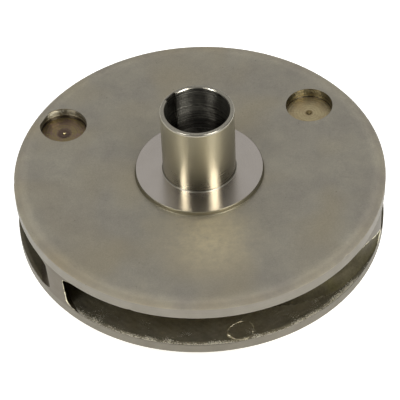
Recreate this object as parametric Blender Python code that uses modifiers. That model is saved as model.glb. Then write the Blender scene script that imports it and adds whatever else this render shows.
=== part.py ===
"""Closed centrifugal pump impeller, hub up, standing on its suction-side neck.

Metres, +Z up. The origin is the bottom centre of the neck's flat end face.
"""

import math

import bmesh
import bpy
import numpy as np
from mathutils import Matrix, Vector

MM = 0.001
GAP = 0.3 * MM

RIM_RADIUS = 65.0 * MM
NECK_DROP = 12.0 * MM
FRONT_RIM_THICKNESS = 4.2 * MM
OUTLET_WIDTH = 13.4 * MM
BACK_RIM_THICKNESS = 5.25 * MM
BACK_DISH = 1.3 * MM
BACK_RIM_ROLL = 3.2 * MM
BACK_RIM_ROUND = 1.1 * MM
EDGE_ROUND = 0.5 * MM

HUB_RADIUS = 12.75 * MM
BORE_RADIUS = 11.1 * MM
HUB_HEIGHT = 26.8 * MM
HUB_CHAMFER = 0.4 * MM
LAND_RADIUS = 22.4 * MM
LAND_STEP = 1.85 * MM
KEYWAY_WIDTH = 4.76 * MM
KEYWAY_DEPTH = 0.65 * MM
KEYWAY_ANGLE = math.radians(141.0)

EYE_RADIUS = 27.0 * MM
NECK_RADIUS = 31.0 * MM
NECK_HEIGHT = 6.0 * MM
NECK_CHAMFER = 0.6 * MM
FLOOR_FLAT_RADIUS = 50.0 * MM
THROAT_Z = 3.0 * MM
NOSE_RADIUS = 14.5 * MM
NOSE_FOOT_RADIUS = 33.5 * MM
NOSE_END_Z = 13.5 * MM
NOSE_SHOULDER_Z = 16.0 * MM

VANE_COUNT = 3
VANE_ANGLE = math.radians(23.0)
VANE_THICKNESS = 3.5 * MM
VANE_TIP_DIRECTION = math.radians(-140.6)
VANE_INNER_RADIUS = 29.0 * MM
VANE_OVERRUN = 4.0 * MM

POCKETS = {
    "left": {"radius": 54.1 * MM, "angle": math.radians(152.9), "depth": 4.0 * MM},
    "right": {"radius": 50.4 * MM, "angle": math.radians(36.4), "depth": 3.6 * MM},
}
POCKET_RADIUS = 8.5 * MM

FRONT_TOP_Z = NECK_DROP + FRONT_RIM_THICKNESS
BACK_RIM_UNDER_Z = FRONT_TOP_Z + OUTLET_WIDTH
BACK_RIM_TOP_Z = BACK_RIM_UNDER_Z + BACK_RIM_THICKNESS
BACK_CENTRE_Z = BACK_RIM_TOP_Z - BACK_DISH
LAND_TOP_Z = BACK_CENTRE_Z + LAND_STEP
HUB_TOP_Z = LAND_TOP_Z + HUB_HEIGHT
BACK_UNDER_Z = BACK_RIM_UNDER_Z - 1.6 * MM
BACK_UNDER_RADIUS = 50.0 * MM

DISC_STEPS = 72
HUB_STEPS = 60

COLOURS = {
    "back_shroud": (0.24, 0.225, 0.195, 0.50),
    "front_shroud": (0.24, 0.225, 0.195, 0.50),
    "vane": (0.20, 0.18, 0.13, 0.55),
    "seal_land": (0.42, 0.40, 0.37, 0.28),
    "hub_barrel": (0.50, 0.48, 0.44, 0.22),
    "hub_nose": (0.24, 0.225, 0.195, 0.50),
    "eye_neck": (0.42, 0.40, 0.37, 0.30),
}


def clear_scene():
    """Start from an empty file: no objects, meshes or materials."""
    for item in list(bpy.data.objects):
        bpy.data.objects.remove(item, do_unlink=True)
    for mesh in list(bpy.data.meshes):
        bpy.data.meshes.remove(mesh)
    for material in list(bpy.data.materials):
        bpy.data.materials.remove(material)


def new_collection(name):
    collection = bpy.data.collections.new(name)
    bpy.context.scene.collection.children.link(collection)
    return collection


def steel(node, kind):
    """The node's own Principled material, with the finish of its kind of surface."""
    red, green, blue, roughness = COLOURS[kind]
    material = bpy.data.materials.new(f"{node}_steel")
    material.use_nodes = True
    shader = material.node_tree.nodes["Principled BSDF"]
    shader.inputs["Base Color"].default_value = (red, green, blue, 1.0)
    shader.inputs["Metallic"].default_value = 1.0
    shader.inputs["Roughness"].default_value = roughness
    return material


def arc(centre, radii, start_deg, end_deg, steps):
    """Points of an elliptic arc in the (r, z) plane, both ends included."""
    angles = np.radians(np.linspace(start_deg, end_deg, steps + 1))
    return [
        (centre[0] + radii[0] * math.cos(angle), centre[1] + radii[1] * math.sin(angle))
        for angle in angles
    ]


def shifted(points, distance):
    """The curve moved sideways by distance, to the left of its direction of travel."""
    line = np.array(points)
    along = np.gradient(line, axis=0)
    along /= np.linalg.norm(along, axis=1)[:, None]
    left = np.column_stack((-along[:, 1], along[:, 0]))
    return [tuple(point) for point in line + distance * left]


def floor_curve():
    """The front shroud's inner surface, from the eye out to the rim."""
    reach = FLOOR_FLAT_RADIUS - EYE_RADIUS
    rise = FRONT_TOP_Z - THROAT_Z
    curve = arc((FLOOR_FLAT_RADIUS, THROAT_Z), (reach, rise), 180, 90, 9)
    return curve + [(RIM_RADIUS, FRONT_TOP_Z)]


def roof_curve():
    """The underside of the back, from the hub's nose out to the rim."""
    reach = NOSE_FOOT_RADIUS - NOSE_RADIUS
    rise = BACK_UNDER_Z - NOSE_SHOULDER_Z
    curve = arc((NOSE_FOOT_RADIUS, NOSE_SHOULDER_Z), (reach, rise), 180, 90, 7)
    return curve + [(BACK_UNDER_RADIUS, BACK_UNDER_Z), (RIM_RADIUS, BACK_RIM_UNDER_Z)]


def link(name, mesh, collection):
    item = bpy.data.objects.new(name, mesh)
    collection.objects.link(item)
    return item


def turned(name, profile, steps, collection):
    """A solid of revolution: a closed (r, z) profile, clockwise, carried round +Z by Screw."""
    mesh = bpy.data.meshes.new(name)
    count = len(profile)
    edges = [(index, (index + 1) % count) for index in range(count)]
    mesh.from_pydata([(r, 0.0, z) for r, z in profile], edges, [])
    item = link(name, mesh, collection)
    screw = item.modifiers.new("Turn", "SCREW")
    screw.axis = "Z"
    screw.angle = math.tau
    screw.steps = steps
    screw.render_steps = steps
    screw.use_merge_vertices = True
    screw.merge_threshold = 0.00001
    screw.use_smooth_shade = False
    return item


def cylinder(name, radius, low, high, centre, steps, collection):
    """A closed cylinder between two heights."""
    mesh = bpy.data.meshes.new(name)
    shape = bmesh.new()
    bmesh.ops.create_cone(
        shape, cap_ends=True, segments=steps, radius1=radius, radius2=radius, depth=high - low
    )
    shape.to_mesh(mesh)
    shape.free()
    item = link(name, mesh, collection)
    item.location = (centre[0], centre[1], (low + high) / 2)
    return item


def box(name, size, placing, collection):
    """A closed box of the given size, centred on the placing matrix."""
    mesh = bpy.data.meshes.new(name)
    shape = bmesh.new()
    bmesh.ops.create_cube(shape, size=1.0, matrix=Matrix.Diagonal((*size, 1.0)))
    shape.to_mesh(mesh)
    shape.free()
    item = link(name, mesh, collection)
    item.matrix_world = placing
    return item


def hide(cutter):
    cutter.hide_render = True
    cutter.display_type = "WIRE"


def combine(item, other, operation):
    """Keep (INTERSECT) or take away (DIFFERENCE) what the other solid covers."""
    step = item.modifiers.new(f"{operation.title()} {other.name}", "BOOLEAN")
    step.operation = operation
    step.object = other
    step.solver = "EXACT"
    hide(other)


def dress(item, kind):
    item.data.materials.append(steel(item.name, kind))


def make_back_shroud(parts):
    """The back disc: rim rolled off, face dished slightly towards the land, bored through."""
    rim_round = arc(
        (RIM_RADIUS - BACK_RIM_ROLL, BACK_RIM_TOP_Z - BACK_RIM_ROUND),
        (BACK_RIM_ROLL, BACK_RIM_ROUND), 90, 0, 6,
    )
    lower_round = arc(
        (RIM_RADIUS - EDGE_ROUND, BACK_RIM_UNDER_Z + EDGE_ROUND), (EDGE_ROUND, EDGE_ROUND), 0, -90, 2
    )
    profile = [(BORE_RADIUS, BACK_CENTRE_Z), (LAND_RADIUS, BACK_CENTRE_Z)]
    profile += rim_round + lower_round
    profile += [(BACK_UNDER_RADIUS, BACK_UNDER_Z), (BORE_RADIUS, BACK_UNDER_Z)]
    item = turned("back_shroud", profile, DISC_STEPS, parts)
    dress(item, "back_shroud")
    return item


def face_height(radius):
    """Height of the back disc's dished face at a radius."""
    outer = RIM_RADIUS - BACK_RIM_ROLL
    share = (radius - LAND_RADIUS) / (outer - LAND_RADIUS)
    return BACK_CENTRE_Z + share * BACK_DISH


def drill_pockets(disc, cutters):
    """Two blind flat-bottomed balance pockets near the rim."""
    for side, pocket in POCKETS.items():
        centre = (
            pocket["radius"] * math.cos(pocket["angle"]),
            pocket["radius"] * math.sin(pocket["angle"]),
        )
        floor = face_height(pocket["radius"]) - pocket["depth"]
        drill = cylinder(
            f"{side}_pocket_drill", POCKET_RADIUS, floor, BACK_RIM_TOP_Z + 5 * MM, centre, 40, cutters
        )
        combine(disc, drill, "DIFFERENCE")


def make_hub_barrel(parts):
    """The machined tube above the disc, chamfered at its lip inside and out."""
    low = BACK_CENTRE_Z + GAP
    profile = [
        (BORE_RADIUS, HUB_TOP_Z - HUB_CHAMFER),
        (BORE_RADIUS + HUB_CHAMFER, HUB_TOP_Z),
        (HUB_RADIUS - HUB_CHAMFER, HUB_TOP_Z),
        (HUB_RADIUS, HUB_TOP_Z - HUB_CHAMFER),
        (HUB_RADIUS, low),
        (BORE_RADIUS, low),
    ]
    item = turned("hub_barrel", profile, HUB_STEPS, parts)
    dress(item, "hub_barrel")
    return item


def make_seal_land(parts):
    """The low polished ring round the hub's foot."""
    low = BACK_CENTRE_Z + GAP
    inner = HUB_RADIUS + GAP
    profile = [
        (inner, LAND_TOP_Z),
        (LAND_RADIUS - 0.2 * MM, LAND_TOP_Z),
        (LAND_RADIUS, LAND_TOP_Z - 0.2 * MM),
        (LAND_RADIUS, low),
        (inner, low),
    ]
    item = turned("seal_land", profile, HUB_STEPS, parts)
    dress(item, "seal_land")
    return item


def make_hub_nose(parts):
    """The hub's inner end in the eye, flared up into the back disc."""
    flare = [point for point in reversed(roof_curve()) if point[0] <= NOSE_FOOT_RADIUS]
    flare = [(radius, height - GAP) for radius, height in flare]
    shoulder = NOSE_SHOULDER_Z - GAP
    tip_size = (NOSE_RADIUS - BORE_RADIUS, shoulder - NOSE_END_Z)
    tip = arc((BORE_RADIUS, shoulder), tip_size, 0, -90, 4)[1:]
    profile = [(BORE_RADIUS, BACK_UNDER_Z - GAP)] + flare + tip
    item = turned("hub_nose", profile, HUB_STEPS, parts)
    dress(item, "hub_nose")
    return item


def broach(item, cutters):
    """Cut the keyway's slot along the bore of one piece."""
    reach = BORE_RADIUS + KEYWAY_DEPTH
    size = (reach, KEYWAY_WIDTH, 2.2 * HUB_TOP_Z)
    turn = Matrix.Rotation(KEYWAY_ANGLE, 4, "Z")
    placing = turn @ Matrix.Translation(Vector((reach / 2, 0.0, HUB_TOP_Z / 2)))
    cutter = box(f"{item.name}_broach", size, placing, cutters)
    combine(item, cutter, "DIFFERENCE")


def make_front_shroud(parts):
    """The suction-side disc: flat near the rim, turning down to the eye."""
    floor = floor_curve()
    outer_round = arc(
        (RIM_RADIUS - EDGE_ROUND, FRONT_TOP_Z - EDGE_ROUND), (EDGE_ROUND, EDGE_ROUND), 90, 0, 2
    )
    lower_round = arc(
        (RIM_RADIUS - EDGE_ROUND, NECK_DROP + EDGE_ROUND), (EDGE_ROUND, EDGE_ROUND), 0, -90, 2
    )
    seat = NECK_HEIGHT + GAP
    underside = arc(
        (FLOOR_FLAT_RADIUS, seat), (FLOOR_FLAT_RADIUS - NECK_RADIUS - 1.5 * MM, NECK_DROP - seat), 90, 180, 7
    )
    inner = [point for point in floor if point[0] < RIM_RADIUS and point[1] > seat]
    first = (np.interp(seat, [p[1] for p in floor[:10]], [p[0] for p in floor[:10]]), seat)
    profile = [first] + inner + outer_round + lower_round + underside
    item = turned("front_shroud", profile, DISC_STEPS, parts)
    dress(item, "front_shroud")
    return item


def make_eye_neck(parts):
    """The machined neck round the suction eye, whose flat end the part stands on."""
    floor = floor_curve()[:10]
    throat = [point for point in floor if point[1] < NECK_HEIGHT]
    last = (np.interp(NECK_HEIGHT, [p[1] for p in floor], [p[0] for p in floor]), NECK_HEIGHT)
    profile = [(EYE_RADIUS, NECK_CHAMFER)] + throat + [
        last,
        (NECK_RADIUS, NECK_HEIGHT),
        (NECK_RADIUS, NECK_CHAMFER),
        (NECK_RADIUS - NECK_CHAMFER, 0.0),
        (EYE_RADIUS + NECK_CHAMFER, 0.0),
    ]
    item = turned("eye_neck", profile, DISC_STEPS, parts)
    dress(item, "eye_neck")
    return item


def vane_direction(radius, tip_direction):
    """Direction of the vane's centre line at a radius: a logarithmic spiral."""
    return tip_direction + math.log(radius / RIM_RADIUS) / math.tan(VANE_ANGLE)


def vane_outline(tip_direction):
    """Outline of one vane seen from above, with a rounded inner end."""
    radii = np.geomspace(VANE_INNER_RADIUS, RIM_RADIUS + VANE_OVERRUN, 26)
    centre = [
        (
            radius * math.cos(vane_direction(radius, tip_direction)),
            radius * math.sin(vane_direction(radius, tip_direction)),
        )
        for radius in radii
    ]
    half = VANE_THICKNESS / 2
    left = shifted(centre, half)
    right = shifted(centre, -half)
    start = np.array(centre[0])
    back = math.atan2(right[0][1] - start[1], right[0][0] - start[0])
    nose = [
        (start[0] + half * math.cos(back - turn), start[1] + half * math.sin(back - turn))
        for turn in np.radians([36, 72, 108, 144])
    ]
    return right[::-1] + nose + left


def make_passage(name, cutters):
    """The turned space between the shrouds, less the gap that keeps the vanes off them."""
    low = shifted(floor_curve(), GAP)[1:]
    high = shifted(roof_curve(), -GAP)
    low = [(radius, height) for radius, height in low if radius > EYE_RADIUS + GAP]
    high = [(radius, height) for radius, height in high if radius > EYE_RADIUS - 6 * MM]
    low[-1] = (RIM_RADIUS, low[-1][1])
    high[-1] = (RIM_RADIUS, high[-1][1])
    profile = high + low[::-1]
    return turned(name, profile, DISC_STEPS, cutters)


def make_vane(number, passage, parts):
    """One backward-curved vane: its outline extruded, then trimmed to the passage."""
    name = f"vane_{number}"
    tip_direction = VANE_TIP_DIRECTION + (number - 1) * math.tau / VANE_COUNT
    outline = vane_outline(tip_direction)
    curve = bpy.data.curves.new(name, "CURVE")
    curve.dimensions = "2D"
    curve.fill_mode = "BOTH"
    curve.extrude = BACK_RIM_TOP_Z / 2
    spline = curve.splines.new("POLY")
    spline.points.add(len(outline) - 1)
    for point, (x, y) in zip(spline.points, outline):
        point.co = (x, y, 0.0, 1.0)
    spline.use_cyclic_u = True
    drawn = link(f"{name}_outline", curve, parts)
    bpy.context.view_layer.update()
    mesh = bpy.data.meshes.new_from_object(drawn.evaluated_get(bpy.context.evaluated_depsgraph_get()))
    bpy.data.objects.remove(drawn, do_unlink=True)
    shape = bmesh.new()
    shape.from_mesh(mesh)
    bmesh.ops.remove_doubles(shape, verts=shape.verts, dist=0.00001)
    bmesh.ops.translate(shape, vec=(0.0, 0.0, BACK_RIM_TOP_Z / 2), verts=shape.verts)
    bmesh.ops.recalc_face_normals(shape, faces=shape.faces)
    shape.to_mesh(mesh)
    shape.free()
    mesh.materials.clear()
    item = link(name, mesh, parts)
    combine(item, passage, "INTERSECT")
    dress(item, "vane")
    return item


def main():
    clear_scene()
    parts = new_collection("pump_impeller")
    cutters = new_collection("cutters")
    disc = make_back_shroud(parts)
    drill_pockets(disc, cutters)
    bored = (disc, make_hub_barrel(parts), make_hub_nose(parts))
    for item in bored:
        broach(item, cutters)
    make_seal_land(parts)
    make_front_shroud(parts)
    make_eye_neck(parts)
    passage = make_passage("passage_ring", cutters)
    for number in range(1, VANE_COUNT + 1):
        make_vane(number, passage, parts)


main()
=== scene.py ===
"""Looks of a closed pump impeller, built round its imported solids.

The impeller is one stainless casting, blasted, then turned on its rim, neck, seal land and hub,
with two balance pockets drilled in its back. Lengths are in metres, angles in degrees unless a
name says otherwise. +Z runs along the shaft and the camera looks along +Y.
"""

import logging
import math
from dataclasses import dataclass, replace
from enum import Enum
from functools import cache
from typing import Protocol

import bmesh
import bpy
import numpy as np
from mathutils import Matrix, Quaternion, Vector


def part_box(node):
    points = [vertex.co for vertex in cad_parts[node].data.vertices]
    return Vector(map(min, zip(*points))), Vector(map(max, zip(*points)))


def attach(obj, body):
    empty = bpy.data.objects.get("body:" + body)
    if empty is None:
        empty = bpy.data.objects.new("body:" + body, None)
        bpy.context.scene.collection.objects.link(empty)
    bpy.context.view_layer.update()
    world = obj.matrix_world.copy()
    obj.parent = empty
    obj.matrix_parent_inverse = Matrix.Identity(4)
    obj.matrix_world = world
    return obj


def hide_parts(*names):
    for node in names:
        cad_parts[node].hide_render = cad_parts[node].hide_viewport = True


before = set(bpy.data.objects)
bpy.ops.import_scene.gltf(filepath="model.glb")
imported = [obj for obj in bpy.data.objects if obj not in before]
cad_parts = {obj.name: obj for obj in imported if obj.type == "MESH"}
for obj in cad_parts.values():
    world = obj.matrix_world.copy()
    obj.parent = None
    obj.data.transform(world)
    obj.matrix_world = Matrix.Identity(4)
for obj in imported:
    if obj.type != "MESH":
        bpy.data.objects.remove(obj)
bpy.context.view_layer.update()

Array = np.ndarray
Colour = tuple[float, float, float, float]
Span = tuple[float, float]
Socket = bpy.types.NodeSocket
Tree = bpy.types.NodeTree

MM = 0.001
# The gap that the solids leave between neighbours, and the distance at which points are joined.
CLEARANCE = 0.3 * MM
WELD = 0.0005 * MM
# Edges that fold more than this many degrees stay sharp.
CREASE = 32.0
# Turned grooves run round the axis, a quarter turn off the way in which a highlight stretches.
GROOVE_TURN = 0.25

log = logging.getLogger("impeller")


def linear(code: str) -> Colour:
    """Turn an sRGB hex colour into the linear values that shaders take.

    Args:
        code: a colour such as "#c8bfaa".

    Returns:
        Red, green, blue and an alpha of 1.
    """
    coded = np.array([int(code[start:start + 2], 16) for start in (1, 3, 5)]) / 255.0
    straight = np.where(coded <= 0.04045, coded / 12.92, ((coded + 0.055) / 1.055) ** 2.4)
    return (*straight.tolist(), 1.0)


def add_node(tree: Tree, kind: str, inputs: dict, output: str | None = None) -> Socket:
    """Add one node with its settings and links.

    Args:
        tree: the node tree that takes it.
        kind: the node's type, such as "TexNoise".
        inputs: by name or number, the value of each input or the socket that feeds it, and by
            a name in small letters each of the node's own settings.
        output: the output that is wanted, where it isn't the first one in use.

    Returns:
        The output's socket.
    """
    node = tree.nodes.new("ShaderNode" + kind)
    settings = {key: value for key, value in inputs.items() if str(key).islower()}
    for key, value in settings.items():
        setattr(node, key, value)
    named = {socket.name: socket for socket in node.inputs if socket.enabled}
    for key, value in inputs.items():
        if key in settings:
            continue
        socket = node.inputs[key] if isinstance(key, int) else named[key]
        if isinstance(value, Socket):
            tree.links.new(value, socket)
        else:
            socket.default_value = value
    return node.outputs[output] if output else next(socket for socket in node.outputs if socket.enabled)


def from_axis(tree: Tree, place: Socket, centre: Span = (0.0, 0.0)) -> tuple[Socket, Socket]:
    """Place seen from an upright axis.

    Args:
        tree: the material's tree.
        place: the socket of the place on the surface.
        centre: where the axis stands.

    Returns:
        The sockets of the level vector from the axis and of its length.
    """
    about = add_node(tree, "VectorMath", {"operation": "SUBTRACT", 0: place, 1: (*centre, 0.0)})
    level = add_node(tree, "VectorMath", {"operation": "MULTIPLY", 0: about, 1: (1.0, 1.0, 0.0)})
    return level, add_node(tree, "VectorMath", {"operation": "LENGTH", 0: level})


def by_height(tree: Tree, place: Socket, heights: Span, shares: Span) -> Socket:
    """A share that changes smoothly from one height to another.

    Args:
        tree: the material's tree.
        place: the socket of the place on the surface.
        heights: the lower height and the upper one.
        shares: the share at each.

    Returns:
        The socket of the share.
    """
    return add_node(tree, "MapRange", {
        "interpolation_type": "SMOOTHSTEP",
        "Value": add_node(tree, "SeparateXYZ", {"Vector": place}, "Z"),
        "From Min": heights[0], "From Max": heights[1], "To Min": shares[0], "To Max": shares[1],
    })


def tool_rings(
    tree: Tree, place: Socket, reach: Socket, spacing: float, detail: float, torn: float = 0.0
) -> Socket:
    """Rings as a lathe leaves them: a noise of one number, the distance from the axis plus height.

    Args:
        tree: the material's tree.
        place: the socket of the place on the surface.
        reach: the socket of the distance from the axis.
        spacing: the widest rings' spacing.
        detail: how many finer sets of rings are added.
        torn: how far a tearing tool throws the rings up and down.

    Returns:
        The socket of the noise.
    """
    height = add_node(tree, "SeparateXYZ", {"Vector": place}, "Z")
    travel = add_node(tree, "Math", {"operation": "ADD", 0: reach, 1: height})
    if torn:
        chatter = add_node(tree, "TexNoise", {"Vector": place, "Scale": 1 / (1.3 * MM), "Detail": 2.0})
        travel = add_node(tree, "Math", {"operation": "MULTIPLY_ADD", 0: chatter, 1: torn, 2: travel})
    return add_node(tree, "TexNoise", {
        "noise_dimensions": "1D", "W": travel, "Scale": 1 / spacing, "Detail": detail, "Roughness": 0.6,
    })


class Finish(Protocol):
    """A surface's finish: it makes its own material."""

    name: str

    def material(self) -> bpy.types.Material:
        """Make the material."""


@cache
def dress(finish: Finish) -> bpy.types.Material:
    """The finish's material, made once and then shared."""
    return finish.material()


def new_material(name: str) -> tuple[bpy.types.Material, Tree, Socket]:
    """Make an empty node material.

    Args:
        name: the material's name.

    Returns:
        The material, its tree, and the socket of the place on the surface.
    """
    made = bpy.data.materials.new(name)
    made.use_nodes = True
    made.node_tree.nodes.clear()
    return made, made.node_tree, add_node(made.node_tree, "TexCoord", {}, "Object")


def set_metal(tree: Tree, inputs: dict) -> None:
    """End a material's tree with its metal shader.

    Args:
        tree: the material's tree.
        inputs: what goes into the shader, apart from its being metal.
    """
    shader = add_node(tree, "BsdfPrincipled", {"Metallic": 1.0, **inputs})
    tree.links.new(shader, tree.nodes.new("ShaderNodeOutputMaterial").inputs["Surface"])


@dataclass(frozen=True)
class ScaleFilm:
    """Painted light and shade on a cast floor, as shares of its brightness.

    It evens out how the lamps light the floor: lighter deep inside, where the roof shades it,
    falling to darker from the radius where it starts to the one where it ends. Beyond that the worn
    edge is painted brighter, as its highlight, and from one place along Y to another, going back
    from the front outlet, the floor is painted darker, as shade.
    """

    start: float
    end: float
    film: Span = (1.2, 0.5)
    bared: float = 1.9
    bared_width: float = 0.7 * MM
    turn_back: Span = (-44 * MM, -30 * MM)
    darker: float = 0.46

    def over(self, tree: Tree, place: Socket, shade: Socket) -> Socket:
        """Lay the painted light and shade over a brightness.

        Args:
            tree: the material's tree.
            place: the socket of the place on the surface.
            shade: the socket of the brightness without it.

        Returns:
            The socket of the brightness with it.
        """
        reach = from_axis(tree, place)[1]
        north = add_node(tree, "SeparateXYZ", {"Vector": place}, "Y")
        for value, ends, shares in (
            (reach, (self.start, self.end), self.film),
            (reach, (self.end, self.end + self.bared_width), (1.0, self.bared)),
            (north, self.turn_back, (1.0, self.darker)),
        ):
            part = add_node(tree, "MapRange", {
                "Value": value, "From Min": ends[0], "From Max": ends[1],
                "To Min": shares[0], "To Max": shares[1],
            })
            shade = add_node(tree, "Math", {"operation": "MULTIPLY", 0: shade, 1: part})
        return shade


@dataclass(frozen=True)
class Glints:
    """Painted glints: grains painted bright in the colour, from few at one radius to many at another.

    A fine noise and a broad one are added to levels that rise outwards and aside, and fall
    towards the back. Where the sum passes the threshold, a grain is painted bright.
    """

    start: float
    end: float
    size: float = 0.36 * MM
    drift: float = 7 * MM
    drift_share: float = 0.86
    outwards: Span = (-1.06, -0.74)
    outlet: Span = (-43 * MM, -36 * MM)
    inside_outlet: float = -0.4
    aside: Span = (12 * MM, 42 * MM)
    aside_levels: Span = (-0.05, 0.07)
    threshold: Span = (0.11, 0.16)
    colour: str = "#fbf6e6"

    def over(self, tree: Tree, place: Socket, shown: Socket) -> Socket:
        """Scatter the painted glints over a colour.

        Args:
            tree: the material's tree.
            place: the socket of the place on the surface.
            shown: the socket of the colour without them.

        Returns:
            The socket of the colour with them.
        """
        east = add_node(tree, "SeparateXYZ", {"Vector": place}, "X")
        fine = add_node(tree, "TexNoise", {
            "Vector": place, "Scale": 1 / self.size, "Detail": 1.0, "Roughness": 0.5,
        })
        broad = add_node(tree, "TexNoise", {"Vector": place, "Scale": 1 / self.drift, "Detail": 2.0})
        total = add_node(tree, "Math", {"operation": "MULTIPLY_ADD", 0: broad, 1: self.drift_share, 2: fine})
        for value, ends, levels in (
            (from_axis(tree, place)[1], (self.start, self.end), self.outwards),
            (east.node.outputs["Y"], self.outlet, (0.0, self.inside_outlet)),
            (add_node(tree, "Math", {"operation": "ABSOLUTE", 0: east}), self.aside, self.aside_levels),
        ):
            level = add_node(tree, "MapRange", {
                "Value": value, "From Min": ends[0], "From Max": ends[1],
                "To Min": levels[0], "To Max": levels[1],
            })
            total = add_node(tree, "Math", {"operation": "ADD", 0: total, 1: level})
        low, high = self.threshold
        share = add_node(tree, "MapRange", {"Value": total, "From Min": low, "From Max": high})
        return add_node(tree, "Mix", {
            "data_type": "RGBA", "Factor": share, "A": shown, "B": linear(self.colour),
        })


@dataclass(frozen=True)
class Handling:
    """Painted reflection of the hub's light on the face: its middle, its reach and its smears."""

    centre: Span
    reach: float
    smear: float = 2.2 * MM
    colour: str = "#eee2c2"

    def over(self, tree: Tree, place: Socket, shown: Socket) -> Socket:
        """Smear the painted reflection's pale colour over another, fading out to its reach.

        Args:
            tree: the material's tree.
            place: the socket of the place on the surface.
            shown: the socket of the colour without it.

        Returns:
            The socket of the colour with it.
        """
        near = add_node(tree, "MapRange", {
            "interpolation_type": "SMOOTHSTEP", "Value": from_axis(tree, place, self.centre)[1],
            "From Max": self.reach, "To Min": 1.0, "To Max": 0.0,
        })
        smear = add_node(tree, "TexNoise", {
            "Vector": place, "Scale": 1 / self.smear, "Detail": 4.0, "Roughness": 0.65,
        })
        reflected_share = add_node(tree, "Math", {"operation": "MULTIPLY", 0: near, 1: smear})
        return add_node(tree, "Mix", {
            "data_type": "RGBA", "Factor": reflected_share, "A": shown, "B": linear(self.colour),
        })


@dataclass(frozen=True)
class CastSteel:
    """Investment-cast stainless steel, as blasted or as it left the shell.

    Blasting leaves a matt warm grey with broad patches, a fine even tooth and a few pinholes.
    An unblasted face keeps the shell's grain, which is coarser, darker and more olive. The three
    numbers of matt_rim are the radii where it starts and ends, and the roughness that it adds.
    """

    name: str
    pale: str
    deep: str
    tint: str
    roughness: float
    patch: float
    grain: float
    depth: float
    fleck: float = 0.0
    # The last three layers paint light and shade into the colour: painted floor shade, painted glints and a
    # painted reflection.
    film: ScaleFilm | None = None
    glints: Glints | None = None
    handled: Handling | None = None
    matt_rim: tuple[float, float, float] | None = None

    def material(self) -> bpy.types.Material:
        """Patches mix the two colours, grain makes the tooth, and cells make the pinholes."""
        made, tree, place = new_material(self.name)
        patches = add_node(tree, "TexNoise", {
            "Vector": place, "Scale": 1 / self.patch, "Detail": 5.0, "Roughness": 0.74,
        })
        warmth = add_node(tree, "TexNoise", {
            "Vector": place, "Scale": 0.55 / self.patch, "Detail": 1.0, "Distortion": 0.4,
        })
        grain = add_node(tree, "TexNoise", {
            "Vector": place, "Scale": 1 / self.grain, "Detail": 2.5, "Roughness": 0.6,
        })
        pits = add_node(tree, "TexVoronoi", {"Vector": place, "Scale": 1 / (11 * self.grain)})
        share = add_node(tree, "MapRange", {"Value": patches, "From Min": 0.36, "From Max": 0.64})
        warm = add_node(tree, "MapRange", {
            "Value": warmth, "From Min": 0.45, "From Max": 0.7, "To Max": 0.6,
        })
        shown = add_node(tree, "Mix", {
            "data_type": "RGBA", "Factor": share, "A": linear(self.deep), "B": linear(self.pale),
        })
        shown = add_node(tree, "Mix", {
            "data_type": "RGBA", "Factor": warm, "A": shown, "B": linear(self.tint),
        })
        tooth = {"Value": grain, "From Min": 0.3, "From Max": 0.7}
        flecks = add_node(tree, "MapRange", {
            **tooth, "To Min": 1 - self.fleck, "To Max": 1 + self.fleck,
        })
        gloss = add_node(tree, "MapRange", {
            **tooth, "To Min": self.roughness - 0.05, "To Max": self.roughness + 0.05,
        })
        # Pinholes are sunk by the bump, and their colour is darkened as painted shade.
        holes = add_node(tree, "MapRange", {
            "Value": pits, "From Min": 0.03, "From Max": 0.06, "To Min": 0.75,
        })
        shade = add_node(tree, "Math", {"operation": "MULTIPLY", 0: flecks, 1: holes})
        # Painted light and shade along the floor.
        if self.film:
            shade = self.film.over(tree, place, shade)
        shown = add_node(tree, "VectorMath", {"operation": "SCALE", 0: shown, "Scale": shade})
        # Painted reflection and painted glints go over the colour.
        for layer in (self.handled, self.glints):
            if layer:
                shown = layer.over(tree, place, shown)
        if self.matt_rim:
            start, end, added = self.matt_rim
            matt = add_node(tree, "MapRange", {
                "Value": from_axis(tree, place)[1], "From Min": start, "From Max": end, "To Max": added,
            })
            gloss = add_node(tree, "Math", {"operation": "ADD", 0: gloss, 1: matt})
        height = add_node(tree, "Math", {"operation": "MULTIPLY", 0: grain, 1: holes})
        bump = add_node(tree, "Bump", {"Strength": 1.0, "Distance": self.depth, "Height": height})
        set_metal(tree, {"Base Color": shown, "Roughness": gloss, "Normal": bump})
        return made


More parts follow.
